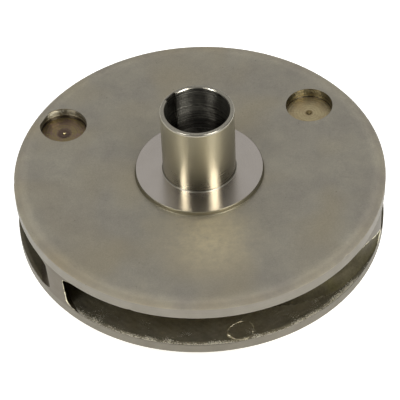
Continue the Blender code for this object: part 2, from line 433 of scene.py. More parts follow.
@dataclass(frozen=True)
class TurnedSteel:
    """Stainless steel cut on a lathe, whose fine grooves stretch each highlight across them.

    The marks are rings: they depend only on the distance from the axis plus the height, so one
    pattern serves a flat face, a cylinder and a chamfer. Real marks are about 0.1 mm apart and
    are drawn as coarse as the spacing given, so that they show. Between its two heights, rubbed
    gives the roughness below them, where a seal has run. Deep in a bore the colour is painted
    darker as shade: the last field gives two heights and the share of painted shade below them.
    """

    name: str
    colour: str
    shadow: str
    roughness: float
    stretch: float
    spacing: float
    depth: float
    centre: Span = (0.0, 0.0)
    stain: float = 0.25
    blot: float = 7 * MM
    detail: float = 1.5
    torn: float = 0.0
    rubbed: tuple[float, float, float] | None = None
    fouled: tuple[float, float, float] | None = None

    def material(self) -> bpy.types.Material:
        """Ring noise gives grooves and bands, and a broad noise gives stains and handling marks."""
        made, tree, place = new_material(self.name)
        level, reach = from_axis(tree, place, self.centre)
        rings = tool_rings(tree, place, reach, self.spacing, self.detail, self.torn)
        blots = add_node(tree, "TexNoise", {
            "Vector": place, "Scale": 1 / self.blot, "Detail": 4.0, "Roughness": 0.6,
        })
        share = add_node(tree, "Math", {"operation": "MULTIPLY_ADD", 0: rings, 1: 0.5, 2: blots})
        marks = {"Value": share, "From Min": 0.55, "From Max": 1.0}
        stain = add_node(tree, "MapRange", {**marks, "To Max": self.stain})
        gloss = add_node(tree, "MapRange", {
            **marks, "To Min": self.roughness * 0.94, "To Max": self.roughness * 1.08,
        })
        # Painted shade, darkening the colour down the bore.
        if self.fouled:
            low, high, most = self.fouled
            deep = by_height(tree, place, (low, high), (most, 0.0))
            stain = add_node(tree, "Math", {"operation": "ADD", "use_clamp": True, 0: stain, 1: deep})
        if self.rubbed:
            low, high, least = self.rubbed
            sleek = by_height(tree, place, (low, high), (least / self.roughness, 1.0))
            gloss = add_node(tree, "Math", {"operation": "MULTIPLY", 0: gloss, 1: sleek})
        shown = add_node(tree, "Mix", {
            "data_type": "RGBA", "Factor": stain, "A": linear(self.colour), "B": linear(self.shadow),
        })
        bump = add_node(tree, "Bump", {"Strength": 1.0, "Distance": self.depth, "Height": rings})
        round_axis = add_node(tree, "VectorMath", {
            "operation": "CROSS_PRODUCT", 0: (0.0, 0.0, 1.0), 1: level,
        })
        set_metal(tree, {
            "Base Color": shown, "Roughness": gloss, "Normal": bump,
            "Anisotropic": self.stretch, "Anisotropic Rotation": GROOVE_TURN,
            "Tangent": add_node(tree, "VectorMath", {"operation": "NORMALIZE", 0: round_axis}),
        })
        return made


@dataclass(frozen=True)
class TintedSteel:
    """A pocket's floor: steel that the flat tool's heat tinted brown, mauve and gold.

    Rings show faintly. The middle, where the tool only rubbed, is a dark patch with an uneven
    edge, and its very centre carries a painted glint.
    """

    name: str
    brown: str
    gold: str
    dark: str
    centre: Span
    mark: float
    shine: str = "#dccb98"
    roughness: float = 0.42
    spacing: float = 0.9 * MM
    blot: float = 3.6 * MM
    grain: float = 0.7 * MM
    depth: float = 0.12 * MM

    def material(self) -> bpy.types.Material:
        """A broad noise parts the tints, and the distance from the centre sets the mark."""
        made, tree, place = new_material(self.name)
        reach = from_axis(tree, place, self.centre)[1]
        rings = tool_rings(tree, place, reach, self.spacing, 2.0)
        broad = add_node(tree, "TexNoise", {
            "Vector": place, "Scale": 1 / self.blot, "Detail": 3.0, "Distortion": 0.8,
        })
        fine = add_node(tree, "TexNoise", {"Vector": place, "Scale": 1 / self.grain, "Detail": 2.0})
        parted = add_node(tree, "Math", {"operation": "MULTIPLY_ADD", 0: rings, 1: 0.9, 2: broad})
        share = add_node(tree, "MapRange", {"Value": parted, "From Min": 0.84, "From Max": 1.06})
        shown = add_node(tree, "Mix", {
            "data_type": "RGBA", "Factor": share, "A": linear(self.brown), "B": linear(self.gold),
        })
        ragged = add_node(tree, "Math", {
            "operation": "MULTIPLY_ADD", 0: fine, 1: 0.5 * self.mark, 2: reach,
        })
        # The dark mark, then the painted glint at the very centre.
        for colour, inner, outer, most in ((self.dark, 1.05, 1.35, 0.85), (self.shine, 0.36, 0.48, 0.9)):
            spot = add_node(tree, "MapRange", {
                "Value": ragged, "From Min": inner * self.mark, "From Max": outer * self.mark,
                "To Min": most, "To Max": 0.0,
            })
            shown = add_node(tree, "Mix", {
                "data_type": "RGBA", "Factor": spot, "A": shown, "B": linear(colour),
            })
        height = add_node(tree, "Math", {"operation": "MULTIPLY_ADD", 0: rings, 1: 0.5, 2: fine})
        bump = add_node(tree, "Bump", {"Strength": 1.0, "Distance": self.depth, "Height": height})
        set_metal(tree, {"Base Color": shown, "Roughness": self.roughness, "Normal": bump})
        return made


# The pale pool on the face in front of the hub is a painted reflection of the hub's light.
BLASTED = CastSteel(
    "blasted_cast_steel", pale="#bdb7a7", deep="#afa99d", tint="#b9ae95",
    roughness=0.5, patch=13 * MM, grain=0.45 * MM, depth=0.008 * MM, fleck=0.1,
    handled=Handling((3 * MM, -35 * MM), 24 * MM), matt_rim=(59.5 * MM, 63.5 * MM, 0.42),
)
# Painted light and shade even out the floor's lighting, and painted glints lie near the rim.
SHELL_ROUGH = CastSteel(
    "shell_rough_cast_steel", pale="#b4ad99", deep="#9d9682", tint="#aca286",
    roughness=0.5, patch=6 * MM, grain=0.6 * MM, depth=0.02 * MM, fleck=0.1,
    film=ScaleFilm(53 * MM, 63.4 * MM), glints=Glints(62.8 * MM, 64.8 * MM),
)
NOSE_CAST = CastSteel(
    "shell_cast_steel_inside", pale="#b9b29d", deep="#9d9682", tint="#b2a989",
    roughness=0.5, patch=9 * MM, grain=0.8 * MM, depth=0.03 * MM, fleck=0.1,
)
# The vanes' sides are painted far darker than the rest of the cast steel, as passage shade.
VANE_CAST = CastSteel(
    "shell_cast_steel_vanes_painted_shade", pale="#635d4a", deep="#524c3c", tint="#5e593c",
    roughness=0.68, patch=5 * MM, grain=0.8 * MM, depth=0.03 * MM, fleck=0.22,
)
# A still darker copy: painted shade on the vane at the left outlet.
VANE_DARK = replace(
    VANE_CAST, name="shell_cast_steel_shaded_vane", pale="#5d5649", deep="#4a4338", tint="#5c503f",
)
# Burrs are torn bare metal whose colour is painted near-white as their highlight.
BURR = CastSteel(
    "torn_burr_steel_painted_highlight", pale="#f6f1da", deep="#c4bda4", tint="#f2eab8",
    roughness=0.5, patch=1 * MM, grain=0.4 * MM, depth=0.1 * MM, fleck=0.3,
)
SCALE = replace(
    BURR, name="shell_scale_on_steel", pale="#efe7cf", deep="#aaa38c", tint="#ddd2ac",
    roughness=0.4, fleck=0.4,
)
TURNED_RIM = TurnedSteel(
    "turned_rim_steel", colour="#89847a", shadow="#716c61",
    roughness=0.46, stretch=0.6, spacing=0.5 * MM, depth=0.003 * MM,
)
# The front disc's rim band is painted darker than the back's, as shade from the table below.
FRONT_RIM_PAINTED_SHADE = replace(
    TURNED_RIM, name="turned_front_rim_steel_painted_shade", colour="#7c776c", shadow="#656053",
)
# The vane tips are painted darker than the rim bands they were turned with, as shade.
TIP_PAINTED_SHADE = replace(TURNED_RIM, name="turned_tip_steel_painted_shade", colour="#6f685c", shadow="#5b5549")
LAND_EDGE = replace(
    TURNED_RIM, name="turned_land_edge_steel", colour="#8f8975", shadow="#76705d",
    roughness=0.5, stretch=0.5,
)
TURNED_LAND = TurnedSteel(
    "fine_turned_land_steel", colour="#d5cdc4", shadow="#c0b7ab",
    roughness=0.24, stretch=0.78, spacing=0.45 * MM, depth=0.0003 * MM, stain=0.2,
)
POLISHED_HUB = TurnedSteel(
    "bright_turned_hub_steel", colour="#a59f8b", shadow="#8c8570",
    roughness=0.295, stretch=0.95, spacing=0.6 * MM, depth=0.0004 * MM, stain=0.2,
    rubbed=(35 * MM, 46 * MM, 0.27),
)
POLISHED_LIP = replace(
    POLISHED_HUB, name="bright_hub_lip_steel", colour="#b4afa1", shadow="#9e9785",
    roughness=0.28, stretch=0.3, rubbed=None,
)
# Deep in the bore its colour is painted darker, as shade.
BORED = TurnedSteel(
    "bored_steel", colour="#8a877c", shadow="#2e2b26",
    roughness=0.4, stretch=0.97, spacing=0.9 * MM, depth=0.35 * MM, stain=1.0, detail=3.0,
    torn=0.4 * MM, fouled=(44 * MM, 54 * MM, 0.78),
)


class Side(Enum):
    """Left or right as the camera sees it."""

    LEFT = "left"
    RIGHT = "right"


@dataclass(frozen=True)
class Patch:
    """One grid of points, row by row, and the finish of the faces between them."""

    points: Array
    finish: int = 0
    joined: bool = True
    keep: Array | None = None

    def quads(self) -> Array:
        """Four point numbers for each kept cell; a joined grid's last column meets its first."""
        rows, columns = self.points.shape[:2]
        index = np.arange(rows * columns).reshape(rows, columns)
        if self.joined:
            index = np.concatenate([index, index[:, :1]], axis=1)
        cells = np.stack([index[:-1, :-1], index[:-1, 1:], index[1:, 1:], index[1:, :-1]], axis=-1)
        return cells.reshape(-1, 4) if self.keep is None else cells[self.keep]


def weld(mesh: bpy.types.Mesh) -> int:
    """Join the points that meet and turn all faces outwards.

    Args:
        mesh: a mesh whose grids share their edge points.

    Returns:
        The number of edges that don't have two faces, which is 0 for a closed piece.
    """
    shape = bmesh.new()
    shape.from_mesh(mesh)
    bmesh.ops.remove_doubles(shape, verts=shape.verts, dist=WELD)
    bmesh.ops.recalc_face_normals(shape, faces=shape.faces)
    loose = sum(not edge.is_manifold for edge in shape.edges)
    shape.to_mesh(mesh)
    shape.free()
    return loose


def put(data: bpy.types.ID) -> bpy.types.Object:
    """Put a mesh, a lamp or a camera into the scene.

    Args:
        data: the mesh, lamp or camera, whose name the object takes too.

    Returns:
        The object.
    """
    item = bpy.data.objects.new(data.name, data)
    bpy.context.scene.collection.objects.link(item)
    return item


def make_piece(
    name: str, patches: list[Patch], finishes: list[Finish], nodes: tuple[str, ...] = ()
) -> bpy.types.Object:
    """Weld grids into one closed piece that rides on the impeller.

    Args:
        name: the piece's name.
        patches: its grids.
        finishes: the finishes that the grids number.
        nodes: the solids that it stands for.

    Returns:
        The finished object, with its place in its mesh.
    """
    counts = [patch.points.shape[0] * patch.points.shape[1] for patch in patches]
    starts = np.concatenate([[0], np.cumsum(counts)[:-1]])
    points = np.concatenate([patch.points.reshape(-1, 3) for patch in patches])
    faces = [patch.quads() + start for patch, start in zip(patches, starts)]
    numbers = np.concatenate([np.full(len(f), p.finish) for f, p in zip(faces, patches)])
    mesh = bpy.data.meshes.new(name)
    mesh.from_pydata(points, [], np.concatenate(faces))
    for finish in finishes:
        mesh.materials.append(dress(finish))
    mesh.polygons.foreach_set("material_index", numbers.astype(np.int32))
    loose = weld(mesh)
    mesh.shade_smooth()
    mesh.set_sharp_from_angle(angle=math.radians(CREASE))
    piece = put(mesh)
    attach(piece, "root")
    if nodes:
        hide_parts(*nodes)
    log.info("%s: %d faces, %d open edges", name, len(mesh.polygons), loose)
    return piece


def circle(steps: int) -> Array:
    """Evenly spaced directions, in radians, from minus to plus half a turn."""
    return np.linspace(-math.pi, math.pi, steps, endpoint=False)


def arc(centre: Span, radii: Span, ends: Span, steps: int) -> Array:
    """Points of an elliptic arc in the plane of radius and height.

    Args:
        centre: the ellipse's centre.
        radii: its half axes.
        ends: the angles in degrees where it starts and ends, from the outward direction.
        steps: the number of chords.

    Returns:
        The points, centre plus radii times cosine and sine of evenly spaced angles.
    """
    angle = np.radians(np.linspace(*ends, steps + 1))
    return np.array(centre) + np.array(radii) * np.stack([np.cos(angle), np.sin(angle)], axis=1)


def run(start: Span, end: Span, steps: int) -> Array:
    """Evenly spaced points of a straight line in the plane of radius and height."""
    return np.linspace(start, end, steps + 1)


def chain(*parts: Array) -> Array:
    """One profile from parts that meet end to end, with each meeting point kept once."""
    return np.concatenate([parts[0], *(part[1:] for part in parts[1:])])


def turn(profile: Array, angles: Array, least: Array | None = None) -> Array:
    """Carry a profile round the axis: x is r cos, y is r sin, and z is the height.

    Args:
        profile: radius and height of each row.
        angles: the columns' directions in radians.
        least: the smallest radius at each column, for a profile that ends in a slotted bore.

    Returns:
        A grid of points, rows by columns by 3.
    """
    radius = np.broadcast_to(profile[:, :1], (len(profile), len(angles)))
    if least is not None:
        radius = np.maximum(radius, least)
    height = np.broadcast_to(profile[:, 1:], radius.shape)
    return np.stack([radius * np.cos(angles), radius * np.sin(angles), height], axis=-1)


@dataclass(frozen=True)
class Ripple:
    """Smooth unevenness from about -1 to 1: a sum of sine waves of random direction and phase.

    The seed picks the waves, whose lengths lie on both sides of the one given.
    """

    wavelength: float
    seed: int
    waves: int = 20

    def at(self, points: Array) -> Array:
        """The unevenness at each place.

        Args:
            points: places, with x, y and z last.

        Returns:
            One value for each place.
        """
        chance = np.random.default_rng(self.seed)
        heading = chance.normal(size=(self.waves, 3))
        heading /= np.linalg.norm(heading, axis=1)[:, None]
        rate = math.tau / self.wavelength * chance.uniform(0.6, 1.5, (self.waves, 1))
        phase = chance.uniform(0, math.tau, self.waves)
        total = np.sin(points.reshape(-1, 3) @ (heading * rate).T + phase).sum(axis=1)
        return total.reshape(points.shape[:-1]) * math.sqrt(2 / self.waves) / 2


def ease(value: Array, start: float, end: float) -> Array:
    """Rise smoothly from 0 at start to 1 at end."""
    share = np.clip((value - start) / (end - start), 0, 1)
    return share * share * (3 - 2 * share)


@dataclass(frozen=True)
class Impeller:
    """The casting's main sizes: those read from the solids, then those repeated from their plan.

    Rim, hub, land, neck, bore, eye, nose and nose_foot are radii. Heights are taken from the end
    of the neck, and the rest are named for what they measure.
    """

    rim: float
    hub: float
    land: float
    neck: float
    hub_top: float
    land_top: float
    back_top: float
    face_centre: float
    roof_rim: float
    roof_flat: float
    floor: float
    neck_seat: float
    nose_end: float
    bore: float = 11.1 * MM
    front_rim_thickness: float = 4.2 * MM
    roof_flat_radius: float = 50 * MM
    floor_flat_radius: float = 50 * MM
    eye: float = 27 * MM
    throat: float = 3 * MM
    nose: float = 14.5 * MM
    nose_foot: float = 33.5 * MM
    nose_shoulder: float = 16 * MM
    key_width: float = 4.76 * MM
    key_depth: float = 0.65 * MM
    key_direction: float = 141.0

    @classmethod
    def measured(cls) -> "Impeller":
        """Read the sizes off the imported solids' boxes."""
        back_low, back_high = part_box("back_shroud")
        front_low, front_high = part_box("front_shroud")
        barrel_low, barrel_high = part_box("hub_barrel")
        land_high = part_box("seal_land")[1]
        return cls(
            rim=back_high.x,
            hub=barrel_high.x,
            land=land_high.x,
            neck=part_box("eye_neck")[1].x,
            hub_top=barrel_high.z,
            land_top=land_high.z,
            back_top=back_high.z,
            face_centre=barrel_low.z - CLEARANCE,
            roof_rim=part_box("vane_1")[1].z + CLEARANCE,
            roof_flat=back_low.z,
            floor=front_high.z,
            neck_seat=front_low.z,
            nose_end=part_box("hub_nose")[0].z,
        )

    def floor_height(self, radius: Array) -> Array:
        """Height of the front shroud's inner side: a quarter ellipse up from the eye, then flat."""
        share = np.clip((self.floor_flat_radius - radius) / (self.floor_flat_radius - self.eye), 0, 1)
        return self.throat + (self.floor - self.throat) * np.sqrt(1 - share * share)

    def roof_height(self, radius: Array) -> Array:
        """Height of the back's underside: a quarter ellipse off the nose, flat, then rising."""
        share = np.clip((self.nose_foot - radius) / (self.nose_foot - self.nose), 0, 1)
        flare = self.nose_shoulder + (self.roof_flat - self.nose_shoulder) * np.sqrt(1 - share * share)
        outer = np.clip((radius - self.roof_flat_radius) / (self.rim - self.roof_flat_radius), 0, 1)
        return flare + outer * (self.roof_rim - self.roof_flat)

    def bore_radius(self, angles: Array) -> Array:
        """Radius of the keyed bore in each direction.

        Away from the key it is the bore. Over the slot's floor it is the bore and the slot's
        depth together, divided by the cosine of the angle off the key. On its side walls it is
        half the key's width divided by the sine.

        Args:
            angles: directions in radians.

        Returns:
            The radius at each.
        """
        off = np.abs((angles - math.radians(self.key_direction) + math.pi) % math.tau - math.pi)
        half = self.key_width / 2
        deep = self.bore + self.key_depth
        wall = half / np.sin(np.clip(off, 0.01, 1.5))
        bottom = deep / np.cos(np.clip(off, 0, 1))
        inside = np.where(off <= math.atan2(half, deep), bottom, wall)
        return np.where(off >= math.asin(half / self.bore), self.bore, inside)

    def columns(self, count: int) -> Array:
        """Evenly spaced directions, with the slot's four corners added.

        Args:
            count: how many are evenly spaced.

        Returns:
            Sorted angles in radians, from minus to plus half a turn.
        """
        half = self.key_width / 2
        lip = math.asin(half / self.bore)
        foot = math.atan2(half, self.bore + self.key_depth)
        corners = math.radians(self.key_direction) + np.array([-lip, -foot, foot, lip])
        return np.sort(np.concatenate([circle(count), corners]))


@dataclass(frozen=True)
class Pocket:
    """A blind balance pocket, bored from above with a flat tool that left its centre mark.

    It stands at a distance from the shaft's axis. Its mark is a radius. The foot of its wall is
    painted dark as the shade in its corner, up to a given height. Each pocket's wall takes its own
    colour, painted darker in the right one as shade, and the floor is brown, gold and dark.
    """

    side: Side
    distance: float
    direction: float
    depth: float
    mark: float
    burnt: float
    oil: str
    tints: tuple[str, str, str]
    radius: float = 8.35 * MM
    chamfer: float = 0.08 * MM
    corner: float = 0.15 * MM
    floor_fall: float = 0.16 * MM
    dish: float = 0.1 * MM
    tip: float = 0.35 * MM
    tip_radius: float = 0.7 * MM

    @property
    def lip_radius(self) -> float:
        """Radius of its mouth, chamfer included."""
        return self.radius + self.chamfer

    @property
    def centre(self) -> Array:
        """Its axis, seen from above."""
        angle = math.radians(self.direction)
        return self.distance * np.array([math.cos(angle), math.sin(angle)])

    @property
    def wall_finish(self) -> TurnedSteel:
        """Its wall: olive bored steel with torn rings, painted darker in the right pocket as shade."""
        return TurnedSteel(
            f"bored_wall_steel_{self.side.value}", colour=self.oil, shadow="#4d4633",
            roughness=0.45, stretch=0.95, spacing=1.2 * MM, depth=1.8 * MM,
            centre=tuple(self.centre.tolist()), stain=1.0, detail=2.0, torn=0.5 * MM,
        )

    @property
    def foot_finish(self) -> TurnedSteel:
        """The foot of its wall, painted dark as the shade in its corner by the floor."""
        return replace(
            self.wall_finish, name=f"shaded_foot_wall_steel_{self.side.value}",
            colour="#5f5646", shadow="#3b3529", depth=0.3 * MM,
        )

    @property
    def floor_finish(self) -> TintedSteel:
        """Its floor: steel tinted by the tool's heat."""
        return TintedSteel(
            f"heat_tinted_steel_{self.side.value}", *self.tints, tuple(self.centre.tolist()), self.mark
        )

    def well(self, face: "BackCasting", lip: Array, base: float) -> tuple[Array, Array, Array]:
        """Chamfer, wall, its foot painted dark as shade, and the floor below the lip.

        Each row is the lip's outline drawn in towards the axis, at its own depth. The floor's
        height falls a little towards the middle, the centre mark is a shallow dish in it, and
        the tool's tip left a small cone.

        Args:
            face: the casting, which gives the face's height at the lip.
            lip: directions of the lip's points from the axis, as unit vectors.
            base: the floor's height.

        Returns:
            The grids of the wall, of its foot and of the floor.
        """
        edge = face.face_at(self.centre + lip * self.lip_radius)
        corner = self.corner
        bend = arc((self.radius - corner, base + corner), (corner, corner), (0, -90), 4)
        shaded_foot_top = bend[0, 1] + self.burnt
        wall_top = edge - self.chamfer
        heights = wall_top + (shaded_foot_top - wall_top) * np.linspace(0, 1, 8)[:, None]
        radii = np.concatenate([[self.lip_radius], np.full(len(heights), self.radius)])
        wall = self.spread(radii, lip, np.concatenate([edge[None], heights]))
        foot = self.spread(
            np.concatenate([[self.radius], bend[:, 0]]), lip,
            np.concatenate([[shaded_foot_top], bend[:, 1]])[:, None],
        )
        inward = np.linspace(bend[-1, 0], 0, 34)
        dish = self.dish * (1 - ease(inward, 0.6 * self.mark, self.mark))
        tip = self.tip * np.clip(1 - inward / self.tip_radius, 0, 1)
        floor_height = base - self.floor_fall * (1 - inward / self.radius) - dish - tip
        floor_height[0] = base
        return wall, foot, self.spread(inward, lip, floor_height[:, None])

    def spread(self, radii: Array, lip: Array, heights: Array) -> Array:
        """Rings of points about the pocket's axis: centre plus radius times direction.

        Args:
            radii: one for each ring.
            lip: the points' directions, as unit vectors.
            heights: one for each ring, or one for each point.

        Returns:
            The grid, rings by points by 3.
        """
        flat = self.centre + radii[:, None, None] * lip[None]
        return np.concatenate([flat, np.broadcast_to(heights, flat.shape[:2])[..., None]], axis=-1)


@dataclass(frozen=True)
class Nick:
    """A small dent in the rim: where it is, how wide, and how deep."""

    direction: float
    height: float
    width: float
    depth: float


@dataclass(frozen=True)
class BackCasting:
    """The back disc with its pockets, the hub's nose inside the eye, and the keyed bore."""

    sizes: Impeller
    steps: int = 540
    rim_round: float = 1.1 * MM
    roll_off: float = 3.2 * MM
    edge_round: float = 0.15 * MM
    uneven: float = 0.035 * MM
    swells: Ripple = Ripple(21 * MM, 5)
    dimples: Ripple = Ripple(7 * MM, 6)
    calm_at_land: float = 4 * MM
    calm_at_edge: float = 3 * MM
    rim_wear: float = 0.012 * MM
    rim_waves: Ripple = Ripple(26 * MM, 9)
    wear_reach: float = 1.5 * MM
    nick_blend: float = 0.5 * MM
    under_land: float = 2 * MM
    pocket_margin: float = 0.8 * MM
    # Each pocket's wall colour; the right one is painted darker, as shade.
    pockets: tuple[Pocket, ...] = (
        Pocket(
            Side.LEFT, 54.1 * MM, 152.9, 4.0 * MM, 2.7 * MM, 1.0 * MM, "#c2bca6",
            ("#957f70", "#9b8b66", "#66554e"),
        ),
        Pocket(
            Side.RIGHT, 50.4 * MM, 36.4, 3.6 * MM, 1.3 * MM, 0.2 * MM, "#857b5e",
            ("#c4b28d", "#d0c199", "#6f5f3b"),
        ),
    )
    nicks: tuple[Nick, ...] = (
        Nick(-112.5, 29.9 * MM, 1.1 * MM, 0.25 * MM),
        Nick(-42.6, 33.7 * MM, 1.4 * MM, 0.35 * MM),
        Nick(-178.0, 33.9 * MM, 0.9 * MM, 0.3 * MM),
        Nick(-96.0, 30.0 * MM, 0.7 * MM, 0.12 * MM),
    )
    finishes: tuple[Finish, ...] = (BLASTED, TURNED_RIM, NOSE_CAST, BORED)

    @property
    def face_edge(self) -> float:
        """Radius where the face starts to roll off towards the rim."""
        return self.sizes.rim - self.roll_off

    def face_height(self, radius: Array) -> Array:
        """Height of the face, which rises evenly from the land to where it rolls off."""
        share = np.clip((radius - self.sizes.land) / (self.face_edge - self.sizes.land), 0, 1)
        return self.sizes.face_centre + share * (self.sizes.back_top - self.sizes.face_centre)

    def face_at(self, flat: Array) -> Array:
        """Height of the face at places seen from above, cast unevenness included.

        Args:
            flat: places with x and y last.

        Returns:
            The height at each.
        """
        radius = np.linalg.norm(flat, axis=-1)
        place = np.concatenate([flat, np.zeros(flat.shape[:-1] + (1,))], axis=-1)
        calm = ease(radius, self.sizes.land, self.sizes.land + self.calm_at_land)
        calm = calm * (1 - ease(radius, self.face_edge - self.calm_at_edge, self.face_edge))
        waves = self.swells.at(place) + 0.45 * self.dimples.at(place)
        return self.face_height(radius) + self.uneven * calm * (waves - 0.4)

    def worn(self, points: Array) -> Array:
        """Wear the rim unevenly and press the nicks into it, each a bell curve about its place.

        Args:
            points: a grid on the rim.

        Returns:
            The grid with its radii shortened there.
        """
        angle = np.arctan2(points[..., 1], points[..., 0])
        radius = np.linalg.norm(points[..., :2], axis=-1)
        pressed = self.rim_wear * (1 + self.rim_waves.at(points))
        pressed = pressed * ease(radius, self.sizes.rim - self.wear_reach, self.sizes.rim)
        for nick in self.nicks:
            off = (angle - math.radians(nick.direction) + math.pi) % math.tau - math.pi
            apart = (off * radius) ** 2 + (points[..., 2] - nick.height) ** 2
            bell = nick.depth * np.exp(-2 * apart / nick.width ** 2)
            pressed = pressed + bell * ease(radius, self.face_edge, self.face_edge + self.nick_blend)
        scale = 1 - pressed / radius
        return points * np.stack([scale, scale, np.ones_like(scale)], axis=-1)

    def window(self, pocket: Pocket, rows: Array, angles: Array) -> tuple[slice, slice]:
        """The block of the face's grid that a pocket takes up.

        Args:
            pocket: the pocket.
            rows: radii of the grid's rows, rising.
            angles: directions of its columns.

        Returns:
            Row and column slices of the block's cells.
        """
        reach = pocket.lip_radius + self.pocket_margin
        inner = np.searchsorted(rows, pocket.distance - reach) - 1
        outer = min(np.searchsorted(rows, pocket.distance + reach), len(rows) - 1)
        half = math.asin(reach / pocket.distance)
        middle = math.radians(pocket.direction)
        first = np.searchsorted(angles, middle - half) - 1
        last = np.searchsorted(angles, middle + half)
        return slice(inner, outer), slice(first, last)

    def surround(self, pocket: Pocket, grid: Array, block: tuple[slice, slice]) -> list[Patch]:
        """The face between a block's edge and the pocket's lip, and the pocket below it.

        The block's edge points are taken in order; each is drawn straight towards the pocket's
        axis until it reaches the lip, so the grid turns from square to round.

        Args:
            pocket: the pocket.
            grid: the face's grid.
            block: the block of cells that the pocket takes up.

        Returns:
            The face's ring, the wall, its foot and the floor.
        """
        rows, columns = block
        near, far = rows.start, rows.stop
        left, right = columns.start, columns.stop
        loop = np.concatenate([
            grid[near, left:right], grid[near:far, right],
            grid[far, right:left:-1], grid[far:near:-1, left],
        ])
        reach = loop[:, :2] - pocket.centre
        lip = reach / np.linalg.norm(reach, axis=1)[:, None]
        share = np.linspace(0, 1, 8)[:, None, None]
        edge = pocket.centre + lip * pocket.lip_radius
        flat = loop[None, :, :2] * (1 - share) + edge[None] * share
        ring = np.concatenate([flat, self.face_at(flat)[..., None]], axis=-1)
        base = float(self.face_height(np.array(pocket.distance))) - pocket.depth
        well = pocket.well(self, lip, base)
        first = len(self.finishes) + len(well) * self.pockets.index(pocket)
        return [Patch(ring, 0), *(Patch(part, first + place) for place, part in enumerate(well))]

    def top(self, angles: Array) -> list[Patch]:
        """The face outside the land, with the pockets let into it.

        Args:
            angles: the columns' directions.

        Returns:
            The face's grid with its holes, and the grids that fill them.
        """
        rows = np.linspace(self.sizes.land - self.under_land, self.face_edge, 60)
        grid = turn(np.stack([rows, self.face_height(rows)], axis=1), angles)
        grid[..., 2] = self.face_at(grid[..., :2])
        keep = np.ones((len(rows) - 1, len(angles)), bool)
        patches = []
        for pocket in self.pockets:
            block = self.window(pocket, rows, angles)
            keep[block] = False
            patches += self.surround(pocket, grid, block)
        return [Patch(grid, 0, keep=keep), *patches]

    def build(self) -> list[bpy.types.Object]:
        """Weld face, rim, underside, nose and bore into one piece."""
        size = self.sizes
        angles = size.columns(self.steps)
        keyed = size.bore_radius(angles)
        small = self.edge_round
        band_top = size.back_top - self.rim_round
        rounding = arc((self.face_edge, band_top), (self.roll_off, self.rim_round), (90, 0), 14)
        band = run((size.rim, band_top), (size.rim, size.roof_rim + small), 9)
        lower = arc((size.rim - small, size.roof_rim + small), (small, small), (0, -90), 3)
        radii = np.linspace(size.rim - small, size.nose_foot, 40)
        heights = size.roof_height(radii)
        heights[0] = size.roof_rim
        roof = np.stack([radii, heights], axis=1)
        flare = arc(
            (size.nose_foot, size.nose_shoulder),
            (size.nose_foot - size.nose, size.roof_flat - size.nose_shoulder), (90, 180), 24,
        )
        tip = arc(
            (size.bore, size.nose_shoulder),
            (size.nose - size.bore, size.nose_shoulder - size.nose_end), (0, -90), 10,
        )
        inner = run((size.bore, size.nose_end), (size.bore, size.face_centre), 10)
        seat = run((size.bore, size.face_centre), (size.land - self.under_land, size.face_centre), 2)
        patches = self.top(angles)
        for profile, finish in ((rounding, 0), (band, 1), (lower, 1), (roof, 2)):
            patches.append(Patch(self.worn(turn(profile, angles)), finish))
        patches.append(Patch(turn(flare, angles), 2))
        for profile, finish in ((tip, 2), (inner, 3), (seat, 3)):
            patches.append(Patch(turn(profile, angles, keyed), finish))
        finishes = list(self.finishes)
        for pocket in self.pockets:
            finishes += [pocket.wall_finish, pocket.foot_finish, pocket.floor_finish]
        nodes = ("back_shroud", "hub_nose")
        return [make_piece("back_casting", patches, finishes, nodes)]


